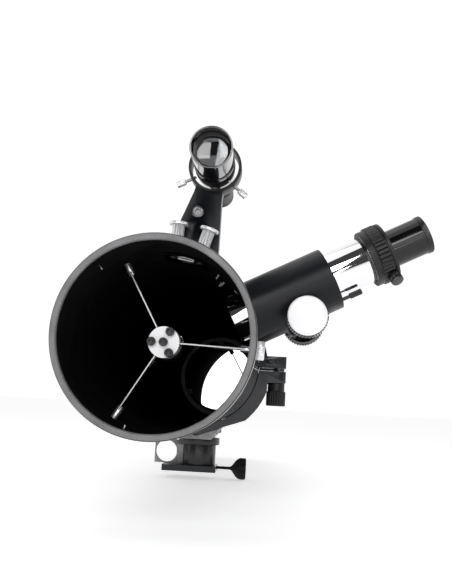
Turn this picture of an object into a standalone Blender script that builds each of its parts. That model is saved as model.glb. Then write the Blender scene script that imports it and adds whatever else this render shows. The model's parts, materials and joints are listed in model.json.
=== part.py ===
"""Newtonian reflector telescope with its two tube rings and the head of its mount.

Metres, +Z up.  The tube lies level along Y and looks towards -Y.  The origin is where the
upright turning axis of the mount head meets the flat underside of its base plate.
"""
import math

import bmesh
import bpy
from mathutils import Vector

GAP = 0.0003                    # between pieces that touch or slide

# Where the tube lies
AXIS_Z = 0.130                  # height of the tube's axis
RIM_Y = -0.460                  # where depths along the tube are measured back from

# Tube and its two end rings
TUBE_R = 0.071
TUBE_WALL = 0.001
TUBE_FRONT = -0.0017
TUBE_REAR = 0.8597
SEAT_R = TUBE_R + GAP           # what fits round the tube
END_RING_R = 0.073
END_RING_LIP_R = 0.0677
FRONT_RING_FRONT = -0.005
FRONT_RING_BACK = 0.011

# Primary mirror
MIRROR_R = 0.057
MIRROR_FOCAL = 0.900
MIRROR_FRONT = 0.826            # depth of the middle of its face
MIRROR_BACK = 0.842
CELL_R = 0.061
CELL_BACK = 0.849
CLIP_ANGLES = (90, 210, 330)
CELL_SCREW_ANGLES = (30, 150, 270)
CELL_SCREW_CIRCLE_R = 0.048

# Spider and secondary mirror
SPIDER_DEPTH = 0.066
VANE_ANGLES = (119.1, -2, 238.9)
VANE_WIDTH = 0.012
VANE_THICKNESS = 0.0011
HUB_R = 0.0123
HUB_FRONT = 0.058
HUB_BACK = 0.074
HUB_SCREW_ANGLES = (60, 180, 300)
HUB_SCREW_CIRCLE_R = 0.0094
STUD_R = 0.00235
HOLDER_FRONT = 0.080
SECONDARY_R = 0.0127
SECONDARY_THICKNESS = 0.004

# Focuser: heights are measured from the tube's axis along the focuser's axis
FOCUSER_ANGLE = 26.7
FOCUSER_DEPTH = 0.1075
HOUSING_R = 0.0265
HOUSING_OFFSET = 0.0019
HOUSING_TOP = 0.1445
DRAWTUBE_R = 0.0196
DRAWTUBE_BORE_R = 0.0178
DRAWTUBE_BOTTOM = 0.0558
DRAWTUBE_TOP = 0.1837
COLLAR_BOTTOM = 0.1784
COLLAR_TOP = 0.1977
EYEPIECE_R = 0.01565
EYEPIECE_BOTTOM = 0.172
EYEPIECE_TOP = 0.2324
PINION_X = 0.0258               # pinion's centre below the drawtube's axis
PINION_HEIGHT = 0.1103
GEAR_MODULE = 0.0007
PINION_TEETH = 12
RACK_BOTTOM = 0.058
RACK_TOP = 0.1435
FRONT_KNOB_R = 0.0169
REAR_KNOB_R = 0.0180
KNOB_INNER = 0.0263             # knob's near face, from the focuser's middle
KNOB_OUTER = 0.0413

# Finder
FINDER_ANGLE = 78.9
FINDER_HEIGHT = 0.1542          # its axis, from the tube's axis
FINDER_RING_DEPTH = 0.099
FINDER_NUT_ANGLES = (73.1, 88.0)
FINDER_NUT_DEPTH = 0.080
FINDER_SCREW_ANGLES = (205.8, -41, 86)

# Tube rings and their clamps; heights are measured from the tube's axis
RING_PLACES = (("front", -0.042), ("rear", 0.042))
RING_HALF_WIDTH = 0.013
RING_INNER_R = 0.0716
UPPER_RING_R = 0.0795
UPPER_RIB_R = 0.0820
LOWER_RING_R = 0.0834
LOWER_RIB_R = 0.0865
RIB_HALF_WIDTH = 0.005
SPLIT_TOP = 0.0                 # lowest face of the upper half
SPLIT_BOTTOM = -0.004
HINGE_X = -0.088
HINGE_Z = -0.002
CLAMP_X = 0.0932
CLAMP_KNOB_R = 0.0115
CLAMP_PIN_Z = 0.008
FLANGE_END_X = 0.1040
RING_SEAT_Z = -0.0842           # point of the V that the lower half ends in
RING_SEAT_SLOPE = 0.344

# Mount head
BASE_THICKNESS = 0.0075
HEAD_R = 0.0214
HEAD_TOP = 0.0324
TURNTABLE_R = 0.0257
TURNTABLE_TOP = 0.041
SADDLE_LENGTH = 0.112
LUG_X = -0.0402
LUG_Z = 0.0222
HEAD_CLAMP_Z = 0.005

# Plain-words directions for turning a local Z axis
ALONG_Y = (-math.pi / 2, 0, 0)
ALONG_X = (0, math.pi / 2, 0)
SIDE_ON = (math.pi / 2, 0, 0)   # an outline's y becomes local Z, its thickness lies along Y

FINE = 64
MEDIUM = 30
SMALL = 18
TINY = 12


def clear_scene():
    for item in list(bpy.data.objects):
        bpy.data.objects.remove(item)


clear_scene()
parts = bpy.data.collections.new("newtonian_reflector_telescope")
tools = bpy.data.collections.new("cutters")
bpy.context.scene.collection.children.link(parts)
bpy.context.scene.collection.children.link(tools)


# Materials ------------------------------------------------------------------------------------

def finish(name, colour, roughness, metallic=0.0):
    material = bpy.data.materials.new(name)
    material.use_nodes = True
    shader = material.node_tree.nodes["Principled BSDF"]
    shader.inputs["Base Color"].default_value = (*colour, 1.0)
    shader.inputs["Roughness"].default_value = roughness
    shader.inputs["Metallic"].default_value = metallic
    return material


GLOSS_BLACK = finish("gloss_black", (0.012, 0.012, 0.014), 0.18)
MATT_BLACK = finish("matt_black", (0.015, 0.015, 0.016), 0.7)
GREY_CAST = finish("grey_cast", (0.14, 0.14, 0.14), 0.6)
SLATE = finish("slate_paint", (0.035, 0.04, 0.05), 0.4)
CHROME = finish("chrome", (0.8, 0.8, 0.8), 0.08, 1.0)
SATIN_SILVER = finish("satin_silver", (0.75, 0.75, 0.75), 0.35, 1.0)
BLACK_PLASTIC = finish("black_plastic", (0.02, 0.02, 0.022), 0.45)
BLACK_STEEL = finish("black_steel", (0.02, 0.02, 0.022), 0.35)
GLASS = finish("glass", (0.8, 0.85, 0.85), 0.02)
MIRROR = finish("mirror", (0.9, 0.9, 0.9), 0.01, 1.0)


# Shapes ---------------------------------------------------------------------------------------

def frame(name, location, rotation):
    empty = bpy.data.objects.new(name, None)
    empty.location = location
    empty.rotation_euler = rotation
    bpy.context.scene.collection.objects.link(empty)
    return empty


def radial_frame(name, angle, depth=0.0, centre=(0.0, AXIS_Z)):
    """Local Z points outwards from an axis along Y, at an angle from +X towards +Z."""
    location = (centre[0], RIM_Y + depth, centre[1])
    return frame(name, location, (0, math.radians(90 - angle), 0))


def add(name, mesh, material, parent, location=(0, 0, 0), rotation=(0, 0, 0)):
    thing = bpy.data.objects.new(name, mesh)
    parts.objects.link(thing)
    thing.parent = parent
    thing.location = location
    thing.rotation_euler = rotation
    if material is not None:
        mesh.materials.append(material)
    return thing


def turned(name, profile, material, parent, location=(0, 0, 0), rotation=(0, 0, 0), steps=MEDIUM):
    """A profile of (radius, height) swept round local Z, given down its outer side.

    A profile that starts and ends on the axis is solid; any other is a closed ring.
    """
    mesh = bpy.data.meshes.new(name)
    points = [(radius, 0, height) for radius, height in profile]
    edges = [(i, i + 1) for i in range(len(points) - 1)]
    if profile[0][0] > 0:
        edges.append((len(points) - 1, 0))
    mesh.from_pydata(points, edges, [])
    thing = add(name, mesh, material, parent, location, rotation)
    sweep = thing.modifiers.new("sweep", "SCREW")
    sweep.steps = steps
    sweep.render_steps = steps
    sweep.use_merge_vertices = True
    sweep.merge_threshold = 0.00001
    return thing


def rod(name, radius, low, high, material, parent, location=(0, 0, 0), rotation=(0, 0, 0),
        steps=SMALL):
    """A plain cylinder along local Z, from low to high."""
    mesh = bpy.data.meshes.new(name)
    shape = bmesh.new()
    bmesh.ops.create_cone(shape, cap_ends=True, segments=steps, radius1=radius, radius2=radius,
                          depth=high - low)
    bmesh.ops.translate(shape, verts=shape.verts, vec=(0, 0, (high + low) / 2))
    shape.to_mesh(mesh)
    shape.free()
    return add(name, mesh, material, parent, location, rotation)


def box(name, low, high, material, parent, location=(0, 0, 0), rotation=(0, 0, 0)):
    mesh = bpy.data.meshes.new(name)
    shape = bmesh.new()
    bmesh.ops.create_cube(shape, size=1.0)
    size = Vector(high) - Vector(low)
    bmesh.ops.scale(shape, verts=shape.verts, vec=size)
    bmesh.ops.translate(shape, verts=shape.verts, vec=(Vector(high) + Vector(low)) / 2)
    shape.to_mesh(mesh)
    shape.free()
    return add(name, mesh, material, parent, location, rotation)


def slab(name, outline, thickness, material, parent, location=(0, 0, 0), rotation=(0, 0, 0)):
    """A flat outline of (x, y) points, thick along local Z on both sides of its plane."""
    curve = bpy.data.curves.new(name, "CURVE")
    curve.dimensions = "2D"
    curve.fill_mode = "BOTH"
    curve.extrude = thickness / 2
    spline = curve.splines.new("POLY")
    spline.points.add(len(outline) - 1)
    for point, (x, y) in zip(spline.points, outline):
        point.co = (x, y, 0, 1)
    spline.use_cyclic_u = True
    flat = bpy.data.objects.new(name + "_outline", curve)
    bpy.context.scene.collection.objects.link(flat)
    evaluated = flat.evaluated_get(bpy.context.evaluated_depsgraph_get())
    mesh = bpy.data.meshes.new_from_object(evaluated)
    bpy.data.objects.remove(flat)
    shape = bmesh.new()
    shape.from_mesh(mesh)
    bmesh.ops.remove_doubles(shape, verts=shape.verts, dist=0.00001)
    bmesh.ops.recalc_face_normals(shape, faces=shape.faces)
    shape.to_mesh(mesh)
    shape.free()
    return add(name, mesh, material, parent, location, rotation)


def combine(thing, other, operation):
    modifier = thing.modifiers.new(other.name, "BOOLEAN")
    modifier.operation = operation
    modifier.object = other
    if other.name in parts.objects:
        parts.objects.unlink(other)
        tools.objects.link(other)
    other.hide_render = True
    other.display_type = "WIRE"


def cut(thing, *others):
    for other in others:
        combine(thing, other, "DIFFERENCE")


def join(thing, *others):
    for other in others:
        combine(thing, other, "UNION")


def keep_inside(thing, other):
    combine(thing, other, "INTERSECT")


# Frames the pieces hang from ------------------------------------------------------------------

world = frame("world_frame", (0, 0, 0), (0, 0, 0))
tube_frame = frame("tube_frame", (0, RIM_Y, AXIS_Z), ALONG_Y)           # local Z is depth
focuser = radial_frame("focuser_frame", FOCUSER_ANGLE, FOCUSER_DEPTH)
finder = radial_frame("finder_frame", FINDER_ANGLE)
tube_space = rod("tube_space", SEAT_R, -0.01, 0.90, None, tube_frame, steps=FINE)


# Tube, front ring, rear ring ------------------------------------------------------------------

def make_tube():
    inner = TUBE_R - TUBE_WALL
    tube = turned("main_tube", [(TUBE_R, TUBE_REAR), (TUBE_R, TUBE_FRONT),
                                (inner, TUBE_FRONT), (inner, TUBE_REAR)],
                  GLOSS_BLACK, tube_frame, steps=FINE)
    cut(tube, rod("focuser_hole", 0.0230, 0.050, 0.090, None, focuser, steps=MEDIUM))
    for index, angle in enumerate(VANE_ANGLES):
        side = radial_frame(f"stud_hole_frame_{index}", angle, SPIDER_DEPTH)
        cut(tube, rod(f"stud_hole_{index}", STUD_R + GAP, 0.060, 0.080, None, side, steps=TINY))
    for index, angle in enumerate(FINDER_NUT_ANGLES):
        side = radial_frame(f"finder_hole_frame_{index}", angle, FINDER_NUT_DEPTH)
        cut(tube, rod(f"finder_hole_{index}", 0.0023, 0.060, 0.080, None, side, steps=TINY))


def make_front_ring():
    face = FRONT_RING_FRONT
    step = face + 0.003
    turned("front_ring", [(END_RING_R, FRONT_RING_BACK), (END_RING_R, face + 0.0009),
                          (0.0722, face), (0.0687, face), (END_RING_LIP_R, face + 0.001),
                          (END_RING_LIP_R, step), (SEAT_R, step), (SEAT_R, FRONT_RING_BACK)],
           GREY_CAST, tube_frame, steps=FINE)


def make_rear_ring():
    flange_front = TUBE_REAR + GAP
    flange_back = flange_front + 0.004
    ring = turned("rear_ring", [(END_RING_R, flange_back), (END_RING_R, 0.846),
                                (SEAT_R, 0.846), (SEAT_R, flange_front),
                                (0.040, flange_front), (0.040, flange_back)],
                  GREY_CAST, tube_frame, steps=FINE)
    for index, angle in enumerate(CELL_SCREW_ANGLES):
        turn = math.radians(angle)
        place = (CELL_SCREW_CIRCLE_R * math.cos(turn), -CELL_SCREW_CIRCLE_R * math.sin(turn), 0)
        cut(ring, rod(f"rear_screw_hole_{index}", 0.0028, 0.855, 0.870, None, tube_frame, place,
                      steps=TINY))


# Primary mirror in its cell -------------------------------------------------------------------

def make_primary():
    rise = MIRROR_R ** 2 / (4 * MIRROR_FOCAL)       # how far the dish's edge stands forward
    rings = 4
    face = []
    for index in range(rings, -1, -1):
        radius = MIRROR_R * index / rings
        face.append((radius, MIRROR_FRONT - rise * (radius / MIRROR_R) ** 2))
    turned("primary_mirror", [(0, MIRROR_BACK), (MIRROR_R, MIRROR_BACK)] + face, MIRROR,
           tube_frame, steps=48)

    floor = MIRROR_BACK + GAP
    cell = turned("mirror_cell", [(0, CELL_BACK), (CELL_R, CELL_BACK), (CELL_R, 0.831),
                                  (MIRROR_R + 0.0005, 0.831), (MIRROR_R + 0.0005, floor),
                                  (0, floor)],
                  GREY_CAST, tube_frame, steps=48)
    for index, angle in enumerate(CELL_SCREW_ANGLES):
        turn = math.radians(angle)
        place = (CELL_SCREW_CIRCLE_R * math.cos(turn), -CELL_SCREW_CIRCLE_R * math.sin(turn), 0)
        cut(cell, rod(f"cell_screw_hole_{index}", 0.0023, 0.845, 0.855, None, tube_frame, place,
                      steps=TINY))
        turned(f"primary_collimation_screw_{index + 1}",
               [(0, 0.876), (0.0062, 0.876), (0.0070, 0.875), (0.0070, 0.8648), (0.0020, 0.8648),
                (0.0020, 0.8455), (0, 0.8455)],
               BLACK_PLASTIC, tube_frame, place, steps=SMALL)

    # Each clip is an L that stands on the cell's rim and reaches over the mirror's edge.
    inner_face = MIRROR_R + 0.0009
    clip_outline = [(0.054, 0.8225), (CELL_R, 0.8225), (CELL_R, 0.8307), (inner_face, 0.8307),
                    (inner_face, 0.8247), (0.054, 0.8247)]
    for index, angle in enumerate(CLIP_ANGLES):
        side = radial_frame(f"clip_frame_{index}", angle)
        outline = [(depth, radius) for radius, depth in clip_outline]
        slab(f"mirror_clip_{index + 1}", outline, 0.010, SATIN_SILVER, side,
             rotation=(math.pi / 2, 0, math.pi / 2))


# Spider, secondary mirror and their screws ----------------------------------------------------

def make_spider():
    hub = turned("spider_hub", [(0, HUB_BACK), (HUB_R, HUB_BACK), (HUB_R, HUB_FRONT),
                                (0, HUB_FRONT)], SATIN_SILVER, tube_frame)
    cut(hub, rod("hub_centre_hole", 0.0023, 0.050, 0.080, None, tube_frame, steps=TINY))
    for index, angle in enumerate(VANE_ANGLES):
        side = radial_frame(f"vane_frame_{index}", angle, SPIDER_DEPTH)
        half_width = VANE_WIDTH / 2
        half_thick = VANE_THICKNESS / 2
        cut(hub, box(f"hub_slot_{index}", (-half_thick - GAP, -half_width - GAP, 0.0093),
                     (half_thick + GAP, half_width + GAP, 0.014), None, side))
        vane = box(f"spider_vane_{index + 1}", (-half_thick, -half_width, 0.0096),
                   (half_thick, half_width, 0.0620), BLACK_PLASTIC, side)
        join(vane, rod(f"vane_stud_{index}", STUD_R, 0.0605, 0.0770, None, side, steps=16))
        turned(f"vane_nut_{index + 1}",
               [(0, 0.0780), (0.0068, 0.0780), (0.0074, 0.0774), (0.0074, 0.0716),
                (STUD_R + GAP, 0.0716), (STUD_R + GAP, 0.0774), (0, 0.0774)],
               CHROME, side, steps=SMALL)
    for index, angle in enumerate(HUB_SCREW_ANGLES):
        turn = math.radians(angle)
        place = (HUB_SCREW_CIRCLE_R * math.cos(turn), -HUB_SCREW_CIRCLE_R * math.sin(turn), 0)
        cut(hub, rod(f"hub_screw_hole_{index}", 0.0020, 0.050, 0.080, None, tube_frame, place,
                     steps=TINY))
        socket_screw(f"secondary_collimation_screw_{index + 1}", place, 0.0016, 0.0797)
    socket_screw("secondary_centre_screw", (0, 0, 0), 0.0020, 0.094)


def socket_screw(name, place, shank_r, tip):
    """A socket-head screw that goes in from the front of the hub."""
    seat = HUB_FRONT - GAP
    screw = turned(name, [(0, tip), (shank_r, tip), (shank_r, seat), (0.0035, seat),
                          (0.0035, seat - 0.0036), (0.0031, seat - 0.0040), (0, seat - 0.0040)],
                   BLACK_STEEL, tube_frame, place, steps=20)
    cut(screw, rod(name + "_socket", 0.0017, 0.0500, 0.0560, None, tube_frame, place, steps=6))


def make_secondary():
    lean = (-math.pi / 4, 0, 0)                     # local Z faces back and to the focuser
    deep = 0.045
    back = -SECONDARY_THICKNESS - GAP
    holder = rod("secondary_holder", SECONDARY_R - 0.0002, HOLDER_FRONT, 0.118, MATT_BLACK,
                 tube_frame, steps=32)
    cut(holder, box("holder_slope", (-deep, -deep, back), (deep, deep, deep), None, focuser,
                    rotation=lean))
    cut(holder, rod("holder_bore", 0.0023, 0.070, 0.095, None, tube_frame, steps=TINY))
    mirror = rod("secondary_mirror", SECONDARY_R, 0.080, 0.135, MIRROR, tube_frame, steps=32)
    keep_inside(mirror, box("mirror_slab", (-deep, -deep, -SECONDARY_THICKNESS), (deep, deep, 0),
                            None, focuser, rotation=lean))


# Focuser --------------------------------------------------------------------------------------

def pinion_outline():
    """Involute teeth with play at the sides and short tips, centred on a tooth at +X."""
    pitch_r = GEAR_MODULE * PINION_TEETH / 2
    base_r = pitch_r * math.cos(math.radians(20))
    tip_r = pitch_r + 0.75 * GEAR_MODULE
    root_r = pitch_r - 1.05 * GEAR_MODULE
    half_tooth = math.pi / (2 * PINION_TEETH) * 0.80

    def roll(radius):
        pressure = math.acos(min(1.0, base_r / radius))
        return math.tan(pressure) - pressure

    flank = [max(base_r, root_r), pitch_r, tip_r]
    outline = []
    for tooth in range(PINION_TEETH):
        middle = 2 * math.pi * tooth / PINION_TEETH
        widths = [(radius, half_tooth + roll(pitch_r) - roll(radius)) for radius in flank]
        root_width = widths[0][1]
        rising = [(root_r, -root_width)] + [(radius, -width) for radius, width in widths]
        falling = [(radius, width) for radius, width in reversed(widths)] + [(root_r, root_width)]
        for radius, turn in rising + falling:
            angle = middle + turn
            outline.append((radius * math.cos(angle), radius * math.sin(angle)))
    return outline


def rack_outline():
    """Straight rack teeth as (height, distance from the axis), one gap facing the pinion."""
    pitch = math.pi * GEAR_MODULE
    pitch_line = PINION_X - GEAR_MODULE * PINION_TEETH / 2
    tip = pitch_line + 0.75 * GEAR_MODULE
    root = pitch_line - 1.05 * GEAR_MODULE
    slope = math.tan(math.radians(20))
    half_tip = pitch / 4 * 0.80 - (tip - pitch_line) * slope
    half_root = pitch / 4 * 0.80 + (pitch_line - root) * slope
    below = math.floor((PINION_HEIGHT - RACK_BOTTOM) / pitch - 0.5) - 1
    above = math.floor((RACK_TOP - PINION_HEIGHT) / pitch - 0.5) - 1
    outline = [(RACK_BOTTOM, DRAWTUBE_R + GAP), (RACK_BOTTOM, root)]
    for index in range(-below, above + 1):
        middle = PINION_HEIGHT + (index + 0.5) * pitch
        outline += [(middle - half_root, root), (middle - half_tip, tip),
                    (middle + half_tip, tip), (middle + half_root, root)]
    return outline + [(RACK_TOP, root), (RACK_TOP, DRAWTUBE_R + GAP)]


def make_focuser_body():
    housing = rod("focuser_housing", HOUSING_R, 0.058, HOUSING_TOP, GLOSS_BLACK, focuser,
                  (HOUSING_OFFSET, 0, 0), steps=MEDIUM)
    join(housing, box("pinion_block", (0.012, -0.014, 0.094), (0.0308, 0.014, 0.128), None,
                      focuser))
    cut(housing, tube_space)
    cut(housing, rod("drawtube_bore", DRAWTUBE_R + 0.0004, 0.050, 0.150, None, focuser,
                     steps=MEDIUM))
    cut(housing, box("rack_groove", (0.015, -0.0043, 0.050), (0.0226, 0.0043, 0.150), None,
                     focuser))
    cut(housing, box("pinion_pocket", (0.019, -0.006, PINION_HEIGHT - 0.0058),
                     (0.032, 0.006, PINION_HEIGHT + 0.0058), None, focuser))
    cut(housing, rod("shaft_hole", 0.0028, -0.030, 0.030, None, focuser,
                     (PINION_X, 0, PINION_HEIGHT), ALONG_Y, steps=TINY * 2))
    lock = (0.0226, -0.0075, 0)
    cut(housing, rod("lock_hole", 0.0018, 0.1315, 0.150, None, focuser, lock, steps=TINY))
    turned("focuser_lock_screw",
           [(0, 0.1623), (0.0020, 0.1623), (0.0024, 0.1619), (0.0024, 0.1515), (0.0015, 0.1515),
            (0.0015, 0.1320), (0, 0.1320)], BLACK_PLASTIC, focuser, lock, steps=16)


def make_pinion():
    centre = (PINION_X, 0, PINION_HEIGHT)
    pinion = slab("pinion_shaft", pinion_outline(), 0.010, SATIN_SILVER, focuser, centre, SIDE_ON)
    join(pinion, rod("shaft", 0.0025, -0.039, 0.039, None, focuser, centre, ALONG_Y, steps=16))
    for name, turn, knob_r in (("front", math.pi / 2, FRONT_KNOB_R),
                               ("rear", -math.pi / 2, REAR_KNOB_R)):
        turned(f"focus_knob_{name}",
               [(0, KNOB_OUTER), (knob_r - 0.0006, KNOB_OUTER), (knob_r, KNOB_OUTER - 0.0006),
                (knob_r, KNOB_INNER), (0.0028, KNOB_INNER), (0.0028, 0.0393), (0, 0.0393)],
               BLACK_PLASTIC, focuser, centre, (turn, 0, 0), steps=28)


def make_drawtube():
    turned("drawtube", [(DRAWTUBE_R, DRAWTUBE_TOP), (DRAWTUBE_R, DRAWTUBE_BOTTOM),
                        (DRAWTUBE_BORE_R, DRAWTUBE_BOTTOM), (DRAWTUBE_BORE_R, DRAWTUBE_TOP)],
           CHROME, focuser)
    # The outline's x is the height and its y the distance from the axis.
    slab("focus_rack", rack_outline(), 0.0076, SATIN_SILVER, focuser,
         rotation=(-math.pi / 2, -math.pi / 2, 0))
    collar = turned("eyepiece_collar",
                    [(0.0242, COLLAR_TOP), (0.0245, 0.1974), (0.0245, 0.1950), (0.0235, 0.1950),
                     (0.0235, 0.1940), (0.0250, 0.1940), (0.0250, 0.1842), (0.0240, 0.1838),
                     (0.0240, COLLAR_BOTTOM), (DRAWTUBE_R + GAP, COLLAR_BOTTOM),
                     (DRAWTUBE_R + GAP, DRAWTUBE_TOP + GAP),
                     (EYEPIECE_R + GAP, DRAWTUBE_TOP + GAP), (EYEPIECE_R + GAP, COLLAR_TOP)],
                    BLACK_PLASTIC, focuser)
    aim = Vector((1.35, -0.9, 0)).to_track_quat("Z", "Y").to_euler()
    place = (0, 0, 0.1905)
    cut(collar, rod("thumb_screw_hole", 0.0018, 0.010, 0.030, None, focuser, place, aim,
                    steps=TINY))
    turned("eyepiece_thumb_screw",
           [(0, 0.0340), (0.0046, 0.0340), (0.0052, 0.0334), (0.0052, 0.0256), (0.0015, 0.0256),
            (0.0015, 0.0163), (0, 0.0163)], CHROME, focuser, place, aim, steps=20)


def make_eyepiece():
    turned("eyepiece_body",
           [(0.0160, EYEPIECE_TOP), (0.0163, 0.2321), (0.0163, 0.2280), (EYEPIECE_R, 0.2276),
            (EYEPIECE_R, EYEPIECE_BOTTOM), (0.0123, EYEPIECE_BOTTOM), (0.0123, 0.2265),
            (0.0090, 0.2265), (0.0125, EYEPIECE_TOP)], GLOSS_BLACK, focuser)
    turned("eyepiece_lens", [(0, 0.2262), (0.0080, 0.2262), (0.0119, 0.2252), (0.0119, 0.2215),
                             (0, 0.2195)], GLASS, focuser, steps=32)


# Finder ---------------------------------------------------------------------------------------

def make_finder():
    axis = (0, 0, FINDER_HEIGHT)
    turned("finder_tube",
           [(0.0130, 0.1500), (0.0130, 0.1130), (0.0170, 0.1090), (0.0170, 0.0775),
            (0.0160, 0.0770), (0.0160, 0.0750), (0.0166, 0.0745), (0.0166, 0.0440),
            (0.0170, 0.0436), (0.0170, 0.0400), (0.0156, 0.0400), (0.0156, 0.0556),
            (0.0140, 0.0556), (0.0140, 0.0700), (0.0080, 0.0700), (0.0080, 0.0715),
            (0.0115, 0.0715), (0.0115, 0.1500)],
           GLOSS_BLACK, finder, axis, ALONG_Y)
    turned("finder_objective_lens",
           [(0, 0.0552), (0.0152, 0.0552), (0.0152, 0.0522), (0.0100, 0.0515), (0.0050, 0.0512),
            (0, 0.0511)], GLASS, finder, axis, ALONG_Y)
    turned("finder_eyepiece",
           [(0.0115, 0.1850), (0.0120, 0.1845), (0.0120, 0.1503), (0.0112, 0.1503),
            (0.0112, 0.1400), (0.0095, 0.1400), (0.0050, 0.1780), (0.0080, 0.1850)],
           GLOSS_BLACK, finder, axis, ALONG_Y, steps=28)


def make_finder_bracket():
    front = FINDER_RING_DEPTH - 0.008
    back = FINDER_RING_DEPTH + 0.008
    ring_r = 0.0223
    right_side = [(0.022, 0.074), (0.0171, 0.101), (0.0133, 0.122), (0.012, 0.129),
                  (0.011, 0.140)]
    neck = right_side + [(-x, height) for x, height in reversed(right_side)]
    bracket = slab("finder_bracket", neck, back - front, GREY_CAST, finder,
                   (0, FINDER_RING_DEPTH, 0), SIDE_ON)
    join(bracket, rod("finder_ring", ring_r, front - 0.0004, back + 0.0004, None, finder,
                      (0, 0, FINDER_HEIGHT), ALONG_Y, steps=MEDIUM))
    join(bracket, box("finder_foot", (-0.0235, 0.066, 0.062), (0.0235, 0.112, 0.076), None,
                      finder))
    cut(bracket, rod("finder_ring_bore", 0.0198, 0.060, 0.130, None, finder,
                     (0, 0, FINDER_HEIGHT), ALONG_Y, steps=MEDIUM))
    cut(bracket, tube_space)
    plate = turned("finder_backing_plate",
                   [(0.0697, 0.086), (0.0697, 0.054), (0.0677, 0.054), (0.0677, 0.086)],
                   BLACK_STEEL, tube_frame, steps=FINE)
    keep_inside(plate, box("plate_width", (-0.017, 0.040, 0.055), (0.017, 0.110, 0.075), None,
                           finder))
    for index, angle in enumerate(FINDER_NUT_ANGLES):
        side = radial_frame(f"finder_nut_frame_{index}", angle, FINDER_NUT_DEPTH)
        cut(bracket, rod(f"foot_hole_{index}", 0.0023, 0.060, 0.090, None, side, steps=TINY))
        join(plate, rod(f"plate_stud_{index}", 0.0020, 0.0687, 0.0945, None, side, steps=TINY))
        turned(f"finder_thumb_nut_{index + 1}",
               [(0, 0.1000), (0.0073, 0.1000), (0.00775, 0.0995), (0.00775, 0.0970),
                (0.0052, 0.0970), (0.0052, 0.0780), (0.0023, 0.0780), (0.0023, 0.0950),
                (0, 0.0950)], CHROME, side, steps=SMALL)
    turn = math.radians(FINDER_ANGLE)
    centre = (FINDER_HEIGHT * math.cos(turn), AXIS_Z + FINDER_HEIGHT * math.sin(turn))
    for index, angle in enumerate(FINDER_SCREW_ANGLES):
        side = radial_frame(f"finder_screw_frame_{index}", angle, FINDER_RING_DEPTH, centre)
        cut(bracket, rod(f"finder_screw_hole_{index}", 0.0018, 0.0185, 0.030, None, side,
                         steps=TINY))
        turned(f"finder_adjust_screw_{index + 1}",
               [(0, 0.0355), (0.0024, 0.0355), (0.00275, 0.0351), (0.00275, 0.0275),
                (0.0015, 0.0270), (0.0015, 0.0175), (0, 0.0175)], SATIN_SILVER, side, steps=16)


# Tube rings -----------------------------------------------------------------------------------

def half_ring(name, outer_r, rib_r, keep_low, keep_high, ring_frame, ring_axis):
    """Half of a wide band with a narrow rib round its middle."""
    section = [(outer_r, RING_HALF_WIDTH), (outer_r, RIB_HALF_WIDTH),
               (rib_r, RIB_HALF_WIDTH), (rib_r, -RIB_HALF_WIDTH),
               (outer_r, -RIB_HALF_WIDTH), (outer_r, -RING_HALF_WIDTH),
               (RING_INNER_R, -RING_HALF_WIDTH), (RING_INNER_R, RING_HALF_WIDTH)]
    ring = turned(name, section, SLATE, ring_axis, steps=FINE)
    reach = 0.12
    keep_inside(ring, box(name + "_half", (-reach, -0.05, keep_low), (reach, 0.05, keep_high),
                          None, ring_frame))
    return ring


def make_tube_ring(place, offset):
    ring_frame = frame(f"ring_frame_{place}", (0, offset, AXIS_Z), (0, 0, 0))
    ring_axis = frame(f"ring_axis_{place}", (0, offset, AXIS_Z), ALONG_Y)
    far = 0.12
    upper = half_ring(f"ring_upper_{place}", UPPER_RING_R, UPPER_RIB_R, SPLIT_TOP, far,
                      ring_frame, ring_axis)
    lower = half_ring(f"ring_lower_{place}", LOWER_RING_R, LOWER_RIB_R, -far, SPLIT_BOTTOM,
                      ring_frame, ring_axis)
    make_hinge(place, upper, lower, ring_frame)
    make_clamp(place, upper, lower, ring_frame)

    # The lower half ends in a shallow V that rests on the saddle.
    reach = 0.060
    edge = RING_SEAT_Z + RING_SEAT_SLOPE * reach
    under = [(0, RING_SEAT_Z), (reach, edge), (reach, -far), (-reach, -far), (-reach, edge)]
    cut(lower, slab(f"ring_seat_{place}", under, 0.04, None, ring_frame, rotation=SIDE_ON))


def make_hinge(place, upper, lower, ring_frame):
    """One knuckle on the upper half between two on the lower half, on a pin."""
    knuckle_r = 0.005
    middle = 0.005
    wide = RING_HALF_WIDTH - 0.0002
    hinge = (HINGE_X, 0, HINGE_Z)
    for side, sign in (("near", -1), ("far", 1)):
        low, high = sorted((sign * (middle + GAP), sign * wide))
        cut(upper, rod(f"knuckle_room_{side}_{place}", knuckle_r + GAP, low - GAP, high + GAP,
                       None, ring_frame, hinge, ALONG_Y))
        join(lower, rod(f"lower_knuckle_{side}_{place}", knuckle_r, low, high, None, ring_frame,
                        hinge, ALONG_Y))
        join(lower, box(f"lower_web_{side}_{place}", (-0.0885, low, -0.0150),
                        (-0.0790, high, -0.0045), None, ring_frame))
    cut(lower, rod(f"knuckle_room_{place}", knuckle_r + GAP, -middle - GAP / 2,
                   middle + GAP / 2, None, ring_frame, hinge, ALONG_Y))
    join(upper, rod(f"upper_knuckle_{place}", knuckle_r, -middle, middle, None, ring_frame,
                    hinge, ALONG_Y))
    join(upper, box(f"upper_web_{place}", (-0.0885, 0.0001 - middle, 0.0001),
                    (-0.0770, middle - 0.0001, 0.0027), None, ring_frame))
    pin_space = rod(f"pin_space_{place}", 0.0023, -0.020, 0.020, None, ring_frame, hinge,
                    ALONG_Y, steps=TINY)
    cut(upper, pin_space)
    cut(lower, pin_space)
    rod(f"ring_hinge_pin_{place}", 0.0020, -0.0145, 0.0145, SATIN_SILVER, ring_frame, hinge,
        ALONG_Y, steps=TINY)


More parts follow.
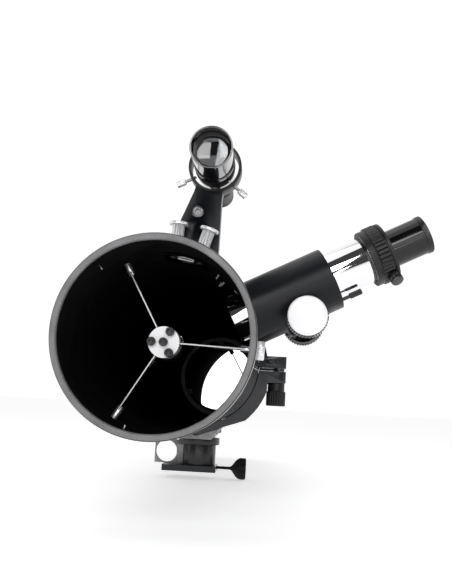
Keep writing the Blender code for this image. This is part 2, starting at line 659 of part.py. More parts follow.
def make_clamp(place, upper, lower, ring_frame):
    """A flange on each half, slotted for a swing bolt that the knob draws down."""
    flange = 0.010
    join(upper, box(f"upper_flange_{place}", (0.0760, -flange, SPLIT_TOP),
                    (FLANGE_END_X, flange, 0.014), None, ring_frame))
    join(lower, box(f"lower_flange_{place}", (0.0795, -flange, -0.0176),
                    (FLANGE_END_X, flange, SPLIT_BOTTOM), None, ring_frame))
    slot = box(f"bolt_slot_{place}", (0.0884, -0.0040, -0.030), (0.115, 0.0040, 0.030), None,
               ring_frame)
    for half in (upper, lower):
        cut(half, slot)
    cut(lower, rod(f"knob_room_{place}", CLAMP_KNOB_R + 0.0006, -0.060, -0.0177, None,
                   ring_frame, (CLAMP_X, 0, 0), steps=MEDIUM))
    bolt_pin = (CLAMP_X, 0, CLAMP_PIN_Z)
    cut(upper, rod(f"bolt_pin_space_{place}", 0.0022, -0.020, 0.020, None, ring_frame, bolt_pin,
                   ALONG_Y, steps=TINY))

    bolt = rod(f"clamp_bolt_{place}", 0.0035, -0.0035, 0.0035, SATIN_SILVER, ring_frame,
               bolt_pin, ALONG_Y)
    join(bolt, rod(f"bolt_cross_pin_{place}", 0.0019, -0.0098, 0.0098, None, ring_frame,
                   bolt_pin, ALONG_Y, steps=TINY))
    join(bolt, rod(f"bolt_shank_{place}", 0.0029, -0.0400, 0.0070, None, ring_frame,
                   (CLAMP_X, 0, 0), steps=16))
    turned(f"clamp_knob_{place}",
           [(0, -0.0404), (0.0032, -0.0404), (0.0032, -0.0179), (0.0100, -0.0179),
            (0.0100, -0.0274), (CLAMP_KNOB_R, -0.0280), (CLAMP_KNOB_R, -0.0449),
            (0.0111, -0.0453), (0, -0.0453)],
           BLACK_PLASTIC, ring_frame, (CLAMP_X, 0, 0), steps=28)


# Mount head -----------------------------------------------------------------------------------

def make_mount():
    base = box("mount_base_plate", (-0.0427, -0.024, 0), (0.0235, 0.024, BASE_THICKNESS), SLATE,
               world)
    knob_place = (0, 0, HEAD_CLAMP_Z)
    cut(base, rod("clamp_screw_hole", 0.0021, 0.0122, 0.040, None, world, knob_place, ALONG_X,
                  steps=TINY))
    turned("head_clamp_knob",
           [(0, 0.0602), (0.0128, 0.0602), (0.0132, 0.0598), (0.0132, 0.0530), (0.0128, 0.0508),
            (0.0105, 0.0480), (0.0070, 0.0455), (0.0040, 0.0430), (0.0022, 0.0412),
            (0.0018, 0.0400), (0.0018, 0.0125), (0, 0.0125)],
           MATT_BLACK, world, knob_place, ALONG_X, steps=32)

    foot = BASE_THICKNESS + GAP
    housing = rod("mount_housing", HEAD_R, foot, HEAD_TOP, GREY_CAST, world, steps=MEDIUM)
    join(housing, box("lug_neck", (-0.0270, -0.0080, foot), (-0.012, 0.0080, 0.0320), None,
                      world))
    join(housing, box("lug", (-0.0546, -0.0035, foot), (-0.0262, 0.0035, 0.0367), None, world))
    cut(housing, rod("lug_hole", 0.0134, -0.020, 0.020, None, world, (LUG_X, 0, LUG_Z), ALONG_Y,
                     steps=MEDIUM))
    cut(housing, rod("head_bore", 0.0083, 0, 0.040, None, world, steps=32))

    turned("turntable_flange",
           [(0, TURNTABLE_TOP), (TURNTABLE_R, TURNTABLE_TOP), (TURNTABLE_R, HEAD_TOP + GAP),
            (0.0080, HEAD_TOP + GAP), (0.0080, 0.0085), (0, 0.0085)], SLATE, world)

    # The saddle's top follows the V under the rings.
    low = TURNTABLE_TOP + GAP
    middle = AXIS_Z + RING_SEAT_Z - 0.00035
    edge_x = 0.0275
    edge = middle + RING_SEAT_SLOPE * edge_x
    slab("saddle_block", [(0, middle), (edge_x, edge), (0.0185, low), (-0.0185, low),
                          (-edge_x, edge)], SADDLE_LENGTH, GREY_CAST, world, rotation=SIDE_ON)


make_tube()
make_front_ring()
make_rear_ring()
make_primary()
make_spider()
make_secondary()
make_focuser_body()
make_pinion()
make_drawtube()
make_eyepiece()
make_finder()
make_finder_bracket()
for ring_place, ring_offset in RING_PLACES:
    make_tube_ring(ring_place, ring_offset)
make_mount()
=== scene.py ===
"""Looks of the newtonian reflector telescope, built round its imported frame.

Metres, +Z up.  The tube lies along Y and looks towards -Y.  A depth is measured back along the
tube from RIM_Y.  Round pieces are swept profiles of (radius, height) given down their outer side.
"""
import json
import math

import bmesh
import bpy
from mathutils import Euler, Matrix, Vector


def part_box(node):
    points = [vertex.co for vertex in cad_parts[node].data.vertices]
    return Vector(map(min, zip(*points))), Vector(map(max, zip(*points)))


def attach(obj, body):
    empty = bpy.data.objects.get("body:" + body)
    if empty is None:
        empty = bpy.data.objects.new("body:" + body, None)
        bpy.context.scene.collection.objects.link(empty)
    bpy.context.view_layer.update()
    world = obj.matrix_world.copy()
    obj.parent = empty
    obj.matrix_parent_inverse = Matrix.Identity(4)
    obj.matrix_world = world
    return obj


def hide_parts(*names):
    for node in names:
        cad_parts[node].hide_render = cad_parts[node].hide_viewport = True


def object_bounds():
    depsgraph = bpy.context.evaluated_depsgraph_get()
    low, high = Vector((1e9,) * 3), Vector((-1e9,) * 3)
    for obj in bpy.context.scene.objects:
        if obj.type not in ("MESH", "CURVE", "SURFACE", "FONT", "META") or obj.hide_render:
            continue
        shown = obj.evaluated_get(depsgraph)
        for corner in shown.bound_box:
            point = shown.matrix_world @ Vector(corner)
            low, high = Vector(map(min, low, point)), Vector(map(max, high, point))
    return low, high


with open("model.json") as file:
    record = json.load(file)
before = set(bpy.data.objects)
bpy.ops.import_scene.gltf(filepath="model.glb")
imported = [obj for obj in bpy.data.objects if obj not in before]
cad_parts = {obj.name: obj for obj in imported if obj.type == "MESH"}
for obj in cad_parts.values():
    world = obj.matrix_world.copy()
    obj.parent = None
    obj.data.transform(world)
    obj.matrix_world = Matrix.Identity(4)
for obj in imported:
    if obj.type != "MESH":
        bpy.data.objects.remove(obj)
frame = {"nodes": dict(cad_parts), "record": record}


def plain(bounds):
    """Bounds as plain lists of numbers."""
    return [[float(value) for value in corner] for corner in bounds]


cad_bounds = plain(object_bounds())

# Where things are ------------------------------------------------------------------------------

tube_low, tube_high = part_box("main_tube")
ring_low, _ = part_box("front_ring")
TUBE_R = (tube_high[0] - tube_low[0]) / 2
AXIS_Z = (tube_high[2] + tube_low[2]) / 2
RIM_FACE = 0.005         # the front ring stands this far in front of RIM_Y
RIM_Y = ring_low[1] + RIM_FACE
TUBE_FRONT = tube_low[1] - RIM_Y
TUBE_REAR = tube_high[1] - RIM_Y
TUBE_WALL = 0.001
SEAT_R = TUBE_R + 0.0003  # what fits round the tube
END_RING_R = 0.0730
END_RING_SIDE_R = 0.0724  # outside this, an end ring is gloss black, painted shade on its outer side

VANE_ANGLES = (119.1, -2, 238.9)
SPIDER_DEPTH = 0.066
HUB_SCREW_CIRCLE_R = 0.0094
HUB_SCREW_ANGLES = (60, 180, 300)
MIRROR_FRONT = 0.826
MIRROR_BACK = 0.842
CELL_FRONT = 0.844        # in front of this, the cell is as black as the tube's inside
MIRROR_FOCAL = 0.900
MIRROR_R = 0.057
CELL_SCREW_ANGLES = (30, 150, 270)
CELL_SCREW_CIRCLE_R = 0.048

FOCUSER_ANGLE = 26.7
FOCUSER_DEPTH = 0.1075
FOCUSER_HOLE_R = 0.0230
HOUSING_R = 0.0265
HOUSING_TOP = 0.1445
HOUSING_FOOT = 0.058
PINION_COVER_LOW = (-0.014, 0.094)
PINION_COVER_HIGH = (0.014, 0.128)
DRAWTUBE_R = 0.0196
DRAWTUBE_BORE_R = 0.0178
PINION_X = 0.0258
PINION_HEIGHT = 0.1103

FINDER_ANGLE = 78.9
FINDER_HEIGHT = 0.1542
FINDER_RING_DEPTH = 0.099
FINDER_NUT_DEPTH = 0.080
FINDER_NUT_ANGLES = (73.1, 88.0)
FINDER_SCREW_ANGLES = (205.8, -41, 86)

RING_OFFSETS = {"front": -0.042, "rear": 0.042}
CLAMP_X = 0.0932
HEAD_R = 0.0214

SHARP_ANGLE = 32          # degrees between faces that makes an edge look sharp

ALONG_Y = Matrix.Rotation(-math.pi / 2, 4, "X")
ALONG_X = Matrix.Rotation(math.pi / 2, 4, "Y")
TUBE = Matrix.Translation((0, RIM_Y, AXIS_Z)) @ ALONG_Y


def at(x, y, z):
    return Matrix.Translation((x, y, z))


def radial(angle, depth=0.0, centre=(0.0, AXIS_Z)):
    """Local Z points outwards from an axis along Y, at an angle from +X towards +Z."""
    turn = Matrix.Rotation(math.radians(90 - angle), 4, "Y")
    return at(centre[0], RIM_Y + depth, centre[1]) @ turn


def on_circle(radius, angle):
    """A place on a circle round the tube's axis, in the tube's own frame."""
    turn = math.radians(angle)
    return at(radius * math.cos(turn), -radius * math.sin(turn), 0)


FOCUSER = radial(FOCUSER_ANGLE, FOCUSER_DEPTH)
FINDER = radial(FINDER_ANGLE)
FINDER_AXIS = FINDER @ at(0, 0, FINDER_HEIGHT) @ ALONG_Y

body_of_node = {node: body for body, nodes in frame["record"]["behaviour"]["bodies"].items()
                for node in nodes}


# Materials -------------------------------------------------------------------------------------

NOISE_RANGE = (0.3, 0.7)  # where most of a noise texture's values lie
FINE_SHARE = 0.55         # of the fine noise in a colour; the rest is the broad noise


def noise(tree, place, scale, detail=4.0):
    node = tree.nodes.new("ShaderNodeTexNoise")
    node.inputs["Scale"].default_value = scale
    node.inputs["Detail"].default_value = detail
    tree.links.new(place, node.inputs["Vector"])
    return node.outputs["Fac"]


def ramp(tree, value, stops):
    """Colours or greys at places between 0 and 1."""
    node = tree.nodes.new("ShaderNodeValToRGB")
    elements = node.color_ramp.elements
    while len(elements) < len(stops):
        elements.new(0.5)
    for element, (place, colour) in zip(elements, stops):
        element.position = place
        element.color = (*colour, 1.0)
    tree.links.new(value, node.inputs["Fac"])
    return node.outputs["Color"]


def spread(tree, value, source, target):
    """The value carried from the source range to the target range."""
    node = tree.nodes.new("ShaderNodeMapRange")
    node.inputs["From Min"].default_value = source[0]
    node.inputs["From Max"].default_value = source[1]
    node.inputs["To Min"].default_value = target[0]
    node.inputs["To Max"].default_value = target[1]
    tree.links.new(value, node.inputs["Value"])
    return node.outputs["Result"]


def surface(name, dark, light, rough, metallic=0.0, blotch=45.0, grain=1400.0, bump=0.1,
            depth=0.0002, coat=0.0, specular=0.5, stretch=(1, 1, 1)):
    """A finish whose colour drifts between two tones, with grain in its gloss and relief."""
    material = bpy.data.materials.new(name)
    material.use_nodes = True
    tree = material.node_tree
    shader = tree.nodes["Principled BSDF"]
    shader.inputs["Metallic"].default_value = metallic
    shader.inputs["Coat Weight"].default_value = coat
    shader.inputs["Coat Roughness"].default_value = 0.04
    shader.inputs["Specular IOR Level"].default_value = specular
    coordinates = tree.nodes.new("ShaderNodeTexCoord")
    mapping = tree.nodes.new("ShaderNodeMapping")
    mapping.inputs["Scale"].default_value = stretch
    tree.links.new(coordinates.outputs["Object"], mapping.inputs["Vector"])
    place = mapping.outputs["Vector"]
    broad = noise(tree, place, blotch)
    fine = noise(tree, place, grain, 6.0)
    both = tree.nodes.new("ShaderNodeMath")
    both.operation = "MULTIPLY_ADD"
    both.inputs[1].default_value = FINE_SHARE
    tree.links.new(fine, both.inputs[0])
    rest = tree.nodes.new("ShaderNodeMath")
    rest.operation = "MULTIPLY"
    rest.inputs[1].default_value = 1 - FINE_SHARE
    tree.links.new(broad, rest.inputs[0])
    tree.links.new(rest.outputs[0], both.inputs[2])
    colour = ramp(tree, both.outputs[0], [(0.36, dark), (0.64, light)])
    tree.links.new(colour, shader.inputs["Base Color"])
    tree.links.new(spread(tree, broad, NOISE_RANGE, rough), shader.inputs["Roughness"])
    if bump:
        relief = tree.nodes.new("ShaderNodeBump")
        relief.inputs["Strength"].default_value = bump
        relief.inputs["Distance"].default_value = depth
        tree.links.new(fine, relief.inputs["Height"])
        tree.links.new(relief.outputs["Normal"], shader.inputs["Normal"])
    return material


def grey(level):
    return (level, level, level * 1.02)


RIM_PAINT = surface("rim_grey_cast", grey(0.08), grey(0.24), (0.38, 0.55), grain=1400, bump=0.5)
TUBE_BLACK = surface("tube_gloss_black", grey(0.003), grey(0.006), (0.03, 0.06), bump=0,
                     coat=1.0)
TUBE_INSIDE = surface("tube_inside_black", grey(0.007), grey(0.015), (0.45, 0.55), grain=1800,
                      bump=0.03, specular=0.0)
SATIN_BLACK = surface("satin_black_casting", (0.004, 0.0045, 0.006), (0.008, 0.009, 0.012),
                      (0.28, 0.36), grain=2200, bump=0.08, specular=0.22)
GLOSS_BLACK = surface("gloss_black_paint", grey(0.002), grey(0.004), (0.06, 0.10), bump=0,
                      specular=0.45)
SLATE = surface("slate_paint", (0.008, 0.009, 0.012), (0.014, 0.016, 0.020), (0.14, 0.22),
                grain=2400, bump=0.05, specular=0.35)
HEAD_ENAMEL = surface("dark_head_enamel", grey(0.006), grey(0.014), (0.26, 0.36), grain=2400,
                      bump=0.05)
GREY_CAST = surface("grey_textured_cast", grey(0.12), grey(0.42), (0.45, 0.65), grain=1500,
                    bump=0.7, depth=0.0003)
CHROME = surface("chrome_plate", grey(0.82), grey(0.90), (0.04, 0.07), 1.0, bump=0)
SATIN_CHROME = surface("satin_chrome_grip", grey(0.86), grey(0.95), (0.20, 0.28), 0.5, bump=0)
SATIN_SILVER = surface("satin_nickel", grey(0.70), grey(0.86), (0.26, 0.34), 0.9, grain=2600,
                       bump=0.04)
FACE_SILVER = surface("spun_silver_face", grey(0.85), grey(0.93), (0.36, 0.46), 0.1,
                      grain=2600, bump=0.06)
BRUSHED = surface("brushed_steel", grey(0.28), grey(0.42), (0.28, 0.40), 1.0, bump=0.08,
                  stretch=(1, 0.05, 1))
DARK_STEEL = surface("dark_steel", grey(0.06), grey(0.14), (0.22, 0.32), 1.0, bump=0.05)
LACQUER = surface("finder_black_lacquer", grey(0.002), grey(0.004), (0.03, 0.06), bump=0,
                  coat=1.0, specular=1.0)
KNOB_BLACK = surface("polished_knob_black", grey(0.003), grey(0.007), (0.05, 0.09), bump=0,
                     coat=0.2, specular=0.6)
MATT_BLACK = surface("matt_black", grey(0.004), grey(0.009), (0.60, 0.78), bump=0.2,
                     specular=0.25)
PLASTIC = surface("moulded_black_plastic", grey(0.005), grey(0.011), (0.36, 0.46), grain=2800,
                  bump=0.1, specular=0.4)
BLACK_OXIDE = surface("black_oxide_steel", grey(0.010), grey(0.022), (0.24, 0.34), 0.3,
                      bump=0.06)
FELT = surface("black_felt", grey(0.006), grey(0.016), (0.90, 1.0), grain=3200, bump=0.9,
               depth=0.0004, specular=0.1)
GROUND_GLASS = surface("ground_glass_edge", (0.45, 0.52, 0.50), (0.60, 0.67, 0.64),
                       (0.45, 0.60), bump=0.3)
MIRROR = surface("aluminised_mirror", grey(0.90), grey(0.94), (0.003, 0.010), 1.0, bump=0)


def lens_glass():
    """Clear glass with a faint coating colour that drifts across it."""
    material = surface("coated_lens_glass", (0.86, 0.92, 0.96), (0.94, 0.95, 0.98),
                       (0.0, 0.01), bump=0, coat=0.3)
    shader = material.node_tree.nodes["Principled BSDF"]
    shader.inputs["Transmission Weight"].default_value = 1.0
    shader.inputs["IOR"].default_value = 1.5
    return material


GLASS = lens_glass()


# Shapes ----------------------------------------------------------------------------------------

def put(name, vertices, faces, matrix, materials, sharp=SHARP_ANGLE):
    """A new object with its place in its mesh and its faces turned outwards."""
    mesh = bpy.data.meshes.new(name)
    mesh.from_pydata([matrix @ Vector(vertex) for vertex in vertices], [], faces)
    shape = bmesh.new()
    shape.from_mesh(mesh)
    bmesh.ops.recalc_face_normals(shape, faces=shape.faces)
    shape.to_mesh(mesh)
    shape.free()
    for material in materials:
        mesh.materials.append(material)
    mesh.shade_smooth()
    mesh.set_sharp_from_angle(angle=math.radians(sharp))
    thing = bpy.data.objects.new(name, mesh)
    bpy.context.scene.collection.objects.link(thing)
    return thing


def eased(profile, size=0.0003):
    """The profile with each corner off the axis taken back by two small steps."""
    closed = profile[0][0] > 0
    count = len(profile)
    rows = []
    for index, point in enumerate(profile):
        if not closed and index in (0, count - 1):
            rows.append(point)
            continue
        here = Vector(point)
        before = Vector(profile[index - 1]) - here
        after = Vector(profile[(index + 1) % count]) - here
        if before.length < 2.5 * size or after.length < 2.5 * size:
            rows.append(point)
            continue
        first = here + before.normalized() * size
        last = here + after.normalized() * size
        middle = (first + last) / 4 + here / 2
        rows += [tuple(first), tuple(middle), tuple(last)]
    return rows


def ribbed(radius, count, cut, narrow=1.0):
    """A radius with even grooves round it; a narrow groove leaves a wider rib."""
    def at_angle(angle):
        wave = 0.5 - 0.5 * math.cos(count * angle)
        return radius - cut * wave ** narrow
    return at_angle


def hexagon(across_flats):
    def at_angle(angle):
        turn = (angle + math.pi / 6) % (math.pi / 3) - math.pi / 6
        return across_flats / 2 / math.cos(turn)
    return at_angle


def lathe(name, rows, matrix, *materials, steps=96, sharp=SHARP_ANGLE):
    """Rows of (radius, height) swept round local Z; a radius may depend on the angle."""
    vertices = []
    rings = []
    for radius, height in rows:
        if not callable(radius) and radius == 0:
            rings.append([len(vertices)] * steps)
            vertices.append((0, 0, height))
            continue
        rings.append(list(range(len(vertices), len(vertices) + steps)))
        for step in range(steps):
            angle = 2 * math.pi * step / steps
            reach = radius(angle) if callable(radius) else radius
            vertices.append((reach * math.cos(angle), reach * math.sin(angle), height))
    pairs = list(zip(rings, rings[1:]))
    if callable(rows[0][0]) or rows[0][0] > 0:
        pairs.append((rings[-1], rings[0]))
    faces = []
    for upper, lower in pairs:
        for step in range(steps):
            after = (step + 1) % steps
            corners = [upper[step], lower[step], lower[after], upper[after]]
            face = list(dict.fromkeys(corners))
            if len(face) > 2:
                faces.append(face)
    return put(name, vertices, faces, matrix, materials, sharp)


def block(name, low, high, matrix, *materials, bevel=0.0006):
    corners = [(x, y, z) for x in (low[0], high[0]) for y in (low[1], high[1])
               for z in (low[2], high[2])]
    faces = [(0, 1, 3, 2), (4, 6, 7, 5), (0, 4, 5, 1), (2, 3, 7, 6), (0, 2, 6, 4), (1, 5, 7, 3)]
    thing = put(name, corners, faces, matrix, materials)
    if bevel:
        soften(thing, bevel)
    return thing


def prism(name, outline, low, high, matrix, *materials, bevel=0.0):
    """An outline of (x, z) points, from low to high along local Y."""
    count = len(outline)
    vertices = [(x, y, z) for y in (low, high) for x, z in outline]
    faces = [tuple(range(count)), tuple(range(2 * count - 1, count - 1, -1))]
    for index in range(count):
        after = (index + 1) % count
        faces.append((index, index + count, after + count, after))
    thing = put(name, vertices, faces, matrix, materials)
    if bevel:
        soften(thing, bevel)
    return thing


def soften(thing, width, segments=2):
    bevel = thing.modifiers.new("edges", "BEVEL")
    bevel.width = width
    bevel.segments = segments
    bevel.limit_method = "ANGLE"
    bevel.angle_limit = math.radians(35)
    bevel.harden_normals = True
    bevel.use_clamp_overlap = True


def carve(thing, *steps):
    """Booleans in turn, each (operation, tool); the tools are used up."""
    for operation, tool in steps:
        modifier = thing.modifiers.new(tool.name, "BOOLEAN")
        modifier.operation = operation
        modifier.object = tool
        modifier.solver = "EXACT"
    bpy.context.view_layer.update()
    result = thing.evaluated_get(bpy.context.evaluated_depsgraph_get())
    mesh = bpy.data.meshes.new_from_object(result)
    thing.modifiers.clear()
    thing.data = mesh
    mesh.shade_smooth()
    mesh.set_sharp_from_angle(angle=math.radians(SHARP_ANGLE))
    for _, tool in steps:
        bpy.data.objects.remove(tool)
    return thing


def plug(radius, low, high, matrix, steps=96):
    """A plain round cutter along local Z."""
    return lathe("cutter", [(0, high), (radius, high), (radius, low), (0, low)], matrix,
                 steps=steps)


def stands_for(thing, node):
    """The piece shows instead of a CAD node, and rides as it does."""
    thing.name = node + "_look"
    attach(thing, body_of_node[node])
    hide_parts(node)
    return thing


def detail(thing, name, body, slot):
    thing.name = name
    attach(thing, body)
    return thing


def dress(node, material, bevel=0.0004):
    """The node's own shape with eased edges and a smooth surface."""
    source = frame["nodes"][node]
    shape = bmesh.new()
    shape.from_mesh(source.data)
    bmesh.ops.remove_doubles(shape, verts=shape.verts, dist=0.000002)
    bmesh.ops.dissolve_limit(shape, angle_limit=math.radians(0.6), verts=shape.verts,
                             edges=shape.edges)
    mesh = bpy.data.meshes.new(node)
    shape.to_mesh(mesh)
    shape.free()
    mesh.materials.clear()
    mesh.materials.append(material)
    mesh.shade_smooth()
    mesh.set_sharp_from_angle(angle=math.radians(SHARP_ANGLE))
    thing = bpy.data.objects.new(node, mesh)
    bpy.context.scene.collection.objects.link(thing)
    if bevel:
        soften(thing, bevel)
    return stands_for(thing, node)


def paint_inside(thing, inside):
    """Gives the second material to faces that the test picks by their middle."""
    for polygon in thing.data.polygons:
        if inside(polygon.center):
            polygon.material_index = 1


# Tube and end rings ----------------------------------------------------------------------------

def tube_distance(point):
    return math.hypot(point.x, point.z - AXIS_Z)


def make_tube():
    inner = TUBE_R - TUBE_WALL
    tube = lathe("tube", [(TUBE_R, TUBE_REAR), (TUBE_R, 0.55), (TUBE_R, 0.30),
                          (TUBE_R, TUBE_FRONT), (inner, TUBE_FRONT), (inner, 0.30),
                          (inner, 0.55), (inner, TUBE_REAR)],
                 TUBE, TUBE_BLACK, TUBE_INSIDE, steps=192)
    carve(tube, ("DIFFERENCE", plug(FOCUSER_HOLE_R, 0.050, 0.090, FOCUSER)))
    paint_inside(tube, lambda middle: tube_distance(middle) < TUBE_R - TUBE_WALL / 2)
    stands_for(tube, "main_tube")

    front = ring_low[1] - RIM_Y
    rows = [(END_RING_R, 0.0110), (END_RING_R, front + 0.0018), (0.0727, front + 0.0010),
            (0.0722, front + 0.0004), (0.0716, front), (0.0690, front),
            (0.0683, front + 0.0003), (0.0679, front + 0.0008), (0.0677, front + 0.0016),
            (0.0677, front + 0.0030), (SEAT_R, front + 0.0030), (SEAT_R, 0.0110)]
    front_ring = lathe("front_ring", rows, TUBE, RIM_PAINT, GLOSS_BLACK, steps=192)
    # The front ring's outer side gets gloss black as painted shade.
    paint_inside(front_ring, lambda middle: tube_distance(middle) > END_RING_SIDE_R)
    stands_for(front_ring, "front_ring")
    rear_ring = dress("rear_ring", RIM_PAINT, 0.0006)
    # The rear ring's outer side gets the same painted shade in gloss black.
    rear_ring.data.materials.append(GLOSS_BLACK)
    paint_inside(rear_ring, lambda middle: tube_distance(middle) > END_RING_SIDE_R)

    # Short screws that hold the front ring show inside the tube.
    for index, angle in enumerate((132, 253, -3)):
        screw = lathe("screw", eased([(0, 0.0712), (0.0014, 0.0712), (0.0014, 0.0662),
                                      (0, 0.0662)], 0.0002),
                      radial(angle, 0.024), BRUSHED, steps=24)
        detail(screw, f"ring_screw_{index + 1}", "ota", "satin_silver")

    # The focuser's foot is held by bolts whose ends show inside the tube.
    for index, (angle, depth) in enumerate(((57, 0.129), (54, 0.112), (57, 0.086))):
        bolt = lathe("bolt", eased([(0, 0.0701), (0.0018, 0.0701), (0.0018, 0.0692),
                                    (0.0009, 0.0692), (0.0009, 0.0660), (0, 0.0660)], 0.0002),
                     radial(angle, depth), BRUSHED, steps=24)
        detail(bolt, f"focuser_bolt_end_{index + 1}", "ota", "satin_silver")


# Primary mirror --------------------------------------------------------------------------------

def make_primary():
    rings = 24
    face = []
    for index in range(rings, -1, -1):
        radius = MIRROR_R * index / rings
        face.append((radius, MIRROR_FRONT - radius ** 2 / (4 * MIRROR_FOCAL)))
    mirror = lathe("mirror", [(0, MIRROR_BACK), (MIRROR_R, MIRROR_BACK)] + face, TUBE, MIRROR,
                   GROUND_GLASS, steps=128)
    face_limit = RIM_Y + MIRROR_FRONT
    paint_inside(mirror, lambda middle: middle.y > face_limit + 0.0002)
    stands_for(mirror, "primary_mirror")
    cell = dress("mirror_cell", GREY_CAST, 0.0005)
    cell.data.materials.append(TUBE_INSIDE)
    paint_inside(cell, lambda middle: middle.y < RIM_Y + CELL_FRONT)
    for index in (1, 2, 3):
        dress(f"mirror_clip_{index}", BLACK_OXIDE, 0.0003)
    for index, angle in enumerate(CELL_SCREW_ANGLES):
        place = TUBE @ on_circle(CELL_SCREW_CIRCLE_R, angle)
        grip = ribbed(0.0070, 8, 0.0009)
        knob = lathe("knob", [(0, 0.8757), (0.0060, 0.8757), (0.0064, 0.8753),
                              (grip, 0.8748), (grip, 0.8656), (0.0064, 0.8648),
                              (0.0020, 0.8648), (0.0020, 0.8455), (0, 0.8455)],
                     place, PLASTIC, sharp=75)
        stands_for(knob, f"primary_collimation_screw_{index + 1}")
        detail(spring(place, 0.0036, 0.0004, 0.8497, 0.8596, 4), f"cell_spring_{index + 1}",
               "ota", "satin_silver")


def spring(matrix, coil_r, wire_r, low, high, turns):
    """A helix of round wire, closed at both ends."""
    around = 8
    along = turns * 24
    vertices = []
    for step in range(along + 1):
        angle = 2 * math.pi * turns * step / along
        height = low + wire_r + (high - low - 2 * wire_r) * step / along
        outwards = Vector((math.cos(angle), math.sin(angle), 0))
        for corner in range(around):
            turn = 2 * math.pi * corner / around
            point = outwards * (coil_r + wire_r * math.cos(turn))
            vertices.append((point.x, point.y, height + wire_r * math.sin(turn)))
    faces = [tuple(range(around)), tuple(range(len(vertices) - around, len(vertices)))]
    for step in range(along):
        for corner in range(around):
            after = (corner + 1) % around
            here = step * around
            faces.append((here + corner, here + after, here + around + after,
                          here + around + corner))
    return put("spring", vertices, faces, matrix, [BRUSHED], sharp=60)


# Spider and secondary mirror -------------------------------------------------------------------

def socket_screw(node, matrix, shank_r, tip):
    """A socket-head screw with a knurled head."""
    seat = 0.0577
    top = seat - 0.0040
    grip = ribbed(0.0035, 30, 0.00018)
    rows = [(0, tip), (shank_r - 0.0003, tip), (shank_r, tip - 0.0004), (shank_r, seat),
            (0.0033, seat), (grip, seat - 0.0003), (grip, top + 0.0006), (0.0033, top + 0.0002),
            (0.0030, top), (0.0021, top), (hexagon(0.0031), top + 0.0003),
            (hexagon(0.0030), top + 0.0022), (0, top + 0.0024)]
    stands_for(lathe("screw", rows, matrix, BLACK_OXIDE, steps=120), node)


def make_spider():
    dress("spider_hub", FACE_SILVER, 0.0003)
    dress("secondary_holder", MATT_BLACK, 0.0004)
    dress("secondary_mirror", MIRROR, 0.0002)
    socket_screw("secondary_centre_screw", TUBE, 0.0020, 0.094)
    for index, angle in enumerate(HUB_SCREW_ANGLES):
        socket_screw(f"secondary_collimation_screw_{index + 1}",
                     TUBE @ on_circle(HUB_SCREW_CIRCLE_R, angle), 0.0016, 0.0797)
    for index, angle in enumerate(VANE_ANGLES):
        side = radial(angle, SPIDER_DEPTH)
        outline = [(0.00055, 0.0096), (0.00055, 0.0620), (-0.00055, 0.0620), (-0.00055, 0.0096)]
        vane = prism("vane", outline, -0.006, 0.006, side, BLACK_OXIDE, BRUSHED,
                     bevel=0.0001)
        # The thin edges facing along Y get lighter brushed steel as a painted highlight; the
        # sides stay black oxide.
        for polygon in vane.data.polygons:
            polygon.material_index = int(abs(polygon.normal.y) > 0.9)
        stands_for(vane, f"spider_vane_{index + 1}")
        stud_rows = [(0, 0.0770), (0.0020, 0.0770), (0.0023, 0.0767), (0.0023, 0.0700),
                     (0.0026, 0.0697), (0.0026, 0.0597), (0.0023, 0.0592), (0, 0.0592)]
        detail(lathe("stud", stud_rows, side, SATIN_SILVER, steps=48), f"vane_stud_{index + 1}",
               "ota", "satin_silver")
        grip = ribbed(0.0074, 32, 0.0004)
        nut_rows = [(0, 0.0780), (0.0064, 0.0780), (0.0069, 0.0777), (grip, 0.0774),
                    (grip, 0.0720), (0.0069, 0.0717), (0.0030, 0.0716), (0.0027, 0.0718),
                    (0.0027, 0.0774), (0, 0.0774)]
        stands_for(lathe("nut", nut_rows, side, SATIN_CHROME, steps=192, sharp=75),
                   f"vane_nut_{index + 1}")


# Focuser ---------------------------------------------------------------------------------------

